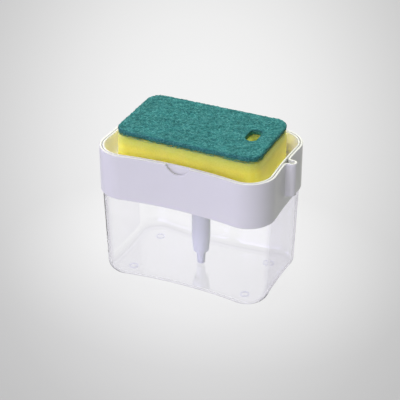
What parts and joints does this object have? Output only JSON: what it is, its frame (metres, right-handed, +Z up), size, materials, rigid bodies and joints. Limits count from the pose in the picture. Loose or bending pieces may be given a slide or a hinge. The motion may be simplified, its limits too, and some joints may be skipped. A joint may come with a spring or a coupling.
{
  "type": "soap pump caddy",
  "caption": "Clear soap tub under a white collar with a press tray: pushing down the sponge in the tray works the pump and brings washing-up soap up beneath it.",
  "frame": {"origin": "on the pump's axis, in the plane that the feet stand on", "axes": "+X along the caddy towards the guide channel, +Y across it away from the finger notch, +Z up"},
  "size_m": [0.1316, 0.082, 0.1107],
  "materials": {
    "clear_tub": "clear polished moulding",
    "white_moulding": "white glossy moulding",
    "pump_plastic": "milky white, semi-gloss",
    "gasket_rubber": "matt rubber",
    "seal_plastic": "soft milky plastic",
    "spring_steel": "drawn spring wire",
    "ball_glass": "polished glass",
    "yellow_foam": "open-cell foam",
    "green_scour": "coarse non-woven fibre"
  },
  "bodies": {
    "base": {"reservoir": "clear_tub"},
    "top": {"collar": "white_moulding", "pump_housing": "pump_plastic", "inlet_tube": "pump_plastic", "pump_nut": "pump_plastic", "pump_gasket": "gasket_rubber", "chaplet": "pump_plastic", "return_spring": "spring_steel"},
    "plunger": {"stem": "pump_plastic", "piston": "seal_plastic", "piston_plug": "pump_plastic"},
    "tray": {"press_tray": "white_moulding", "outlet_cap": "white_moulding"},
    "sponge": {"sponge_foam": "yellow_foam", "scour_pad": "green_scour"},
    "inlet_check": {"inlet_ball": "ball_glass"},
    "outlet_check": {"outlet_ball": "ball_glass"}
  },
  "joints": [
    {"name": "collar_lift", "type": "slide", "parent": "base", "child": "top", "axis": [0, 0, 1], "range_m": [0, 0.07]},
    {"name": "pump_press", "type": "slide", "parent": "top", "child": "plunger", "axis": [0, 0, -1], "range_m": [0, 0.0085], "stiffness_N_per_m": 600, "springref_m": -0.012, "deforming": ["return_spring"]},
    {"name": "tray_lift", "type": "slide", "parent": "plunger", "child": "tray", "axis": [0, 0, 1], "range_m": [0, 0.035]},
    {"name": "sponge_lift", "type": "slide", "parent": "tray", "child": "sponge", "axis": [0, 0, 1], "range_m": [0, 0.03]},
    {"name": "inlet_valve", "type": "slide", "parent": "top", "child": "inlet_check", "axis": [0, 0, 1], "range_m": [0, 0.0018]},
    {"name": "outlet_valve", "type": "slide", "parent": "plunger", "child": "outlet_check", "axis": [0, 0, 1], "range_m": [0, 0.0015]}
  ]
}
